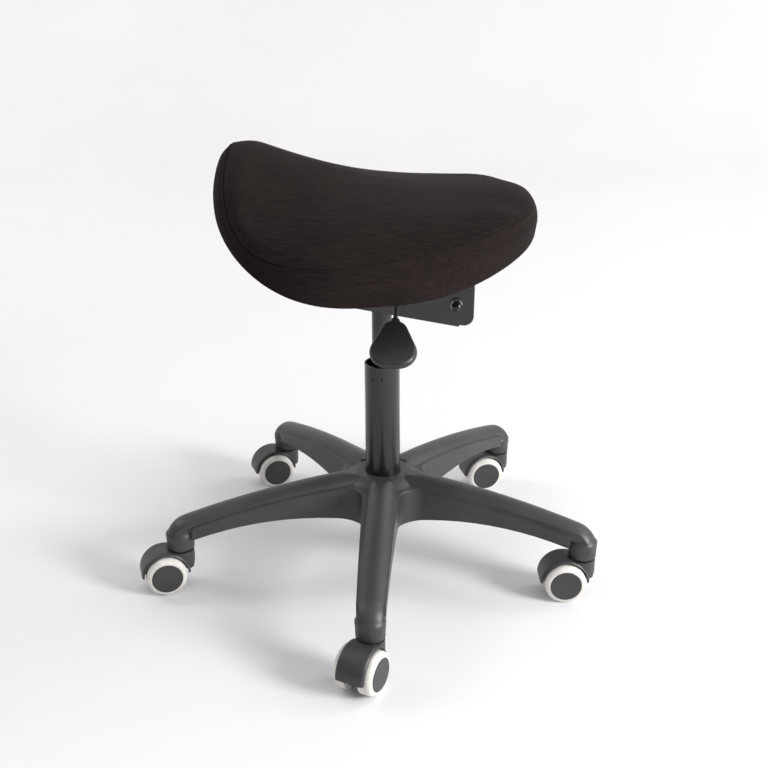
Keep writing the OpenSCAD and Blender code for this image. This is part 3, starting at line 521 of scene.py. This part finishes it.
def filled_pad(form):
    """A remeshed copy blown up as cloth: where its points were, and how far each one moved."""
    mesh = form.mesh
    pad = place(bpy.data.objects.new("pad_sim", mesh.copy()))
    remesh = pad.modifiers.new("remesh", "REMESH")
    remesh.mode, remesh.voxel_size = "VOXEL", VOXEL
    graph = bpy.context.evaluated_depsgraph_get()
    base = bpy.data.meshes.new_from_object(pad.evaluated_get(graph))
    pad.modifiers.clear()
    pad.data = base

    tree = KDTree(len(mesh.vertices))
    for v in mesh.vertices:
        tree.insert(v.co, v.index)
    tree.balance()
    normals = [v.normal.copy() for v in base.vertices]
    before = [v.co.copy() for v in base.vertices]
    pins = []
    for v in base.vertices:
        if form.row_of(tree.find(v.co)[1]) >= form.foot_row - 1:
            pins.append(v.index)
        else:
            v.co -= normals[v.index] * START_IN
    pad.vertex_groups.new(name="pin").add(pins, 1.0, "REPLACE")

    cloth = pad.modifiers.new("cloth", "CLOTH")
    cloth.collision_settings.use_collision = False
    fill = cloth.settings
    fill.quality = CLOTH_QUALITY
    fill.use_pressure, fill.uniform_pressure_force = True, PRESSURE
    fill.tension_stiffness = fill.compression_stiffness = STRETCH_STIFF
    fill.shear_stiffness, fill.bending_stiffness = SHEAR_STIFF, BEND_STIFF
    fill.effector_weights.gravity = 0
    fill.vertex_group_mass = "pin"
    scene = bpy.context.scene
    for number in range(1, CLOTH_FRAMES + 1):
        scene.frame_set(number)
    graph = bpy.context.evaluated_depsgraph_get()
    moves = []
    for i, v in enumerate(pad.evaluated_get(graph).to_mesh().vertices):
        step = v.co - base.vertices[i].co
        if step.length > SWELL_CAP:
            step.length = SWELL_CAP
        moves.append(step + (base.vertices[i].co - before[i]))
    scene.frame_set(1)
    bpy.data.objects.remove(pad)
    bpy.data.meshes.remove(base)
    return before, moves


def swell(form):
    """Fill the cover: the pad's moves, blurred, are carried over to the cushion's own mesh."""
    before, moves = filled_pad(form)
    near = KDTree(len(before))
    for i, co in enumerate(before):
        near.insert(co, i)
    near.balance()
    shifts = []
    for v in form.mesh.vertices:
        total, weight = Vector(), 0.0
        for _, i, distance in near.find_n(v.co, NEIGHBOURS):
            w = math.exp(-(distance / BLUR) ** 2) + LEAST_WEIGHT
            total += moves[i] * w
            weight += w
        shifts.append(total / weight * SWELL_SHARE)
    for v, shift in zip(form.mesh.vertices, shifts):
        if form.row_of(v.index) < form.foot_row:
            v.co += shift
    form.mesh.update()


def sew(form):
    """Pinch the crease and the seam into the filled cover."""
    verts = form.mesh.vertices
    normal = [v.normal.copy() for v in verts]
    for row, depth in ((form.crease_row, PINCH), (form.seam_row, STITCHED)):
        for k in range(1 - len(depth), len(depth)):
            for i, column in enumerate(form.columns):
                v = form.index(row + k, i)
                edge = column.fade
                if depth is STITCHED:
                    edge *= smooth(*STITCHED_FROM, column.seam)
                verts[v].co += normal[v] * depth[abs(k)] * edge
    form.mesh.update()


def one_stitch(bm, p, along):
    """One dash of thread, a thin closed sausage half sunk in the seam."""
    side = along.cross(p.normal).normalized()
    turns = [2 * math.pi / STITCH_SIDES * j for j in range(STITCH_SIDES)]
    rings = []
    for k in range(STITCH_RINGS):
        u = k / (STITCH_RINGS - 1) * 2 - 1
        r = STITCH_RADIUS * math.sqrt(max(STITCH_END, 1 - u ** 4))
        lift = STITCH_RISE * (1 - u * u) - STITCH_SINK
        mid = p.co + along * (u * STITCH_LENGTH / 2) + p.normal * lift
        rings.append([bm.verts.new(mid + side * (r * math.cos(w)) + p.normal * (r * math.sin(w)))
                      for w in turns])
    for a, b in zip(rings, rings[1:]):
        for j in range(STITCH_SIDES):
            n = (j + 1) % STITCH_SIDES
            bm.faces.new((a[j], a[n], b[n], b[j]))
    bm.faces.new(rings[0][::-1])
    bm.faces.new(rings[-1])


def stitches(form, thread):
    """Dashes of thread along the seam on both flanks."""
    line = [form.mesh.vertices[form.index(form.seam_row, i)] for i in range(COLUMNS + 1)]
    bm = bmesh.new()
    run = 0.0
    for column, p, q in zip(form.columns, line, line[1:]):
        if column.fade < STITCH_FADE or column.seam < STITCH_SEAM:
            continue
        run += (q.co - p.co).length
        if run >= STITCH_PITCH:
            run -= STITCH_PITCH
            one_stitch(bm, p, (q.co - p.co).normalized())
    bmesh.ops.recalc_face_normals(bm, faces=bm.faces)
    mesh = bpy.data.meshes.new("seat_stitches")
    bm.to_mesh(mesh)
    bm.free()
    for face in mesh.polygons:
        face.use_smooth = True
    mesh.materials.append(thread)
    piece = place(bpy.data.objects.new("seat_stitches", mesh))
    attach(piece, "seat")


def make_cushion(materials):
    form = SeatForm("saddle_cushion")
    swell(form)
    sew(form)
    form.mesh.materials.append(materials["seat_fabric"])
    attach(form.obj, "seat")
    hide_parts("seat_cushion")
    stitches(form, materials["sewing_thread"])


# ---------------------------------------------------------------- stage
# a paper sweep: floor, a soft bend far behind the object, and a wall
SWEEP_HALF_WIDTH, SWEEP_FRONT, SWEEP_WALL_Y, SWEEP_TOP = 9.0, -7.0, 4.2, 7.0
BEND_RADIUS, BEND_STEPS = 1.6, 12
# the room is bright behind, above and to the right, and dim at the camera's side
ROOM_TINT, ROOM_TOWARDS, ROOM_LEVELS = (1.0, 0.985, 1.0, 1), (0.25, 0.55, 0.60), (0.04, 1.02)
ROOM_SPREAD = 0.7
WALL_SEEN = (0.90, 0.885, 0.90, 1)
# name: place, aim, size in metres, power in watts
LIGHTS = {
    "key_right": ((2.75, -1.55, 1.40), (0, 0, 0.35), (1.0, 1.0), 122),
    "fill_front": ((-0.6, -3.2, 2.4), (0, -0.2, 0.2), (2.4, 1.6), 1),
    "wall_left": ((-3.4, 1.2, 3.0), (-1.0, 4.2, 1.2), (1.6, 1.6), 54),
    "wall_right": ((3.4, 1.2, 3.0), (1.0, 4.2, 1.2), (1.6, 1.6), 54),
}


def make_sweep():
    start = SWEEP_WALL_Y - BEND_RADIUS
    line = [(SWEEP_FRONT, 0.0), (-1.0, 0.0), (1.0, 0.0), (start, 0.0)]
    for k in range(1, BEND_STEPS + 1):
        a = math.radians(90 / BEND_STEPS * k)
        line.append((start + BEND_RADIUS * math.sin(a), BEND_RADIUS - BEND_RADIUS * math.cos(a)))
    line += [(SWEEP_WALL_Y, SWEEP_TOP)]
    verts = [(x, y, z) for y, z in line for x in (-SWEEP_HALF_WIDTH, SWEEP_HALF_WIDTH)]
    faces = [(2 * k, 2 * k + 1, 2 * k + 3, 2 * k + 2) for k in range(len(line) - 1)]
    mesh = bpy.data.meshes.new("sweep")
    mesh.from_pydata(verts, [], faces)
    for face in mesh.polygons:
        face.use_smooth = True
    g = Graph("sweep_paper")
    g.tone(g.noise(1.5, 3, 0.5), "Fac", (0.3, (0.80, 0.785, 0.80)), (0.7, (0.82, 0.81, 0.825)))
    g.set(g.bsdf, Roughness=0.85, Specular_IOR_Level=0.2)
    mesh.materials.append(g.done(g.bump(g.noise(300, 3, 0.5), "Fac", 0.05, 0.0002)))
    place(bpy.data.objects.new("sweep", mesh))


def make_room():
    world = bpy.data.worlds.new("studio")
    world.use_nodes = True
    nodes, link = world.node_tree.nodes, world.node_tree.links.new
    room = nodes["Background"]
    room.inputs["Color"].default_value = ROOM_TINT
    way = nodes.new("ShaderNodeTexCoord")
    dot = nodes.new("ShaderNodeVectorMath")
    dot.operation = "DOT_PRODUCT"
    dot.inputs[1].default_value = ROOM_TOWARDS
    level = nodes.new("ShaderNodeMapRange")
    level.inputs["From Min"].default_value = -ROOM_SPREAD
    level.inputs["From Max"].default_value = ROOM_SPREAD
    level.inputs["To Min"].default_value, level.inputs["To Max"].default_value = ROOM_LEVELS
    link(way.outputs["Generated"], dot.inputs[0])
    link(dot.outputs["Value"], level.inputs["Value"])
    link(level.outputs["Result"], room.inputs["Strength"])
    # past the paper's edge the view meets a plain pale wall
    pale = nodes.new("ShaderNodeBackground")
    pale.inputs["Color"].default_value = WALL_SEEN
    seen = nodes.new("ShaderNodeLightPath")
    mix = nodes.new("ShaderNodeMixShader")
    link(seen.outputs["Is Camera Ray"], mix.inputs["Fac"])
    link(room.outputs[0], mix.inputs[1])
    link(pale.outputs[0], mix.inputs[2])
    link(mix.outputs[0], nodes["World Output"].inputs["Surface"])
    bpy.context.scene.world = world
    bpy.context.scene.view_settings.view_transform = "Standard"


def make_lights():
    for name, (location, aim, size, power) in LIGHTS.items():
        data = bpy.data.lights.new(name, "AREA")
        data.shape = "RECTANGLE"
        data.size, data.size_y = size
        data.energy = power
        light = place(bpy.data.objects.new(name, data))
        light.location = location
        way = Vector(aim) - Vector(location)
        light.rotation_euler = way.to_track_quat("-Z", "Y").to_euler()


make_camera()
materials = make_materials()
dress_nodes(materials)
make_cushion(materials)
make_sweep()
make_room()
make_lights()
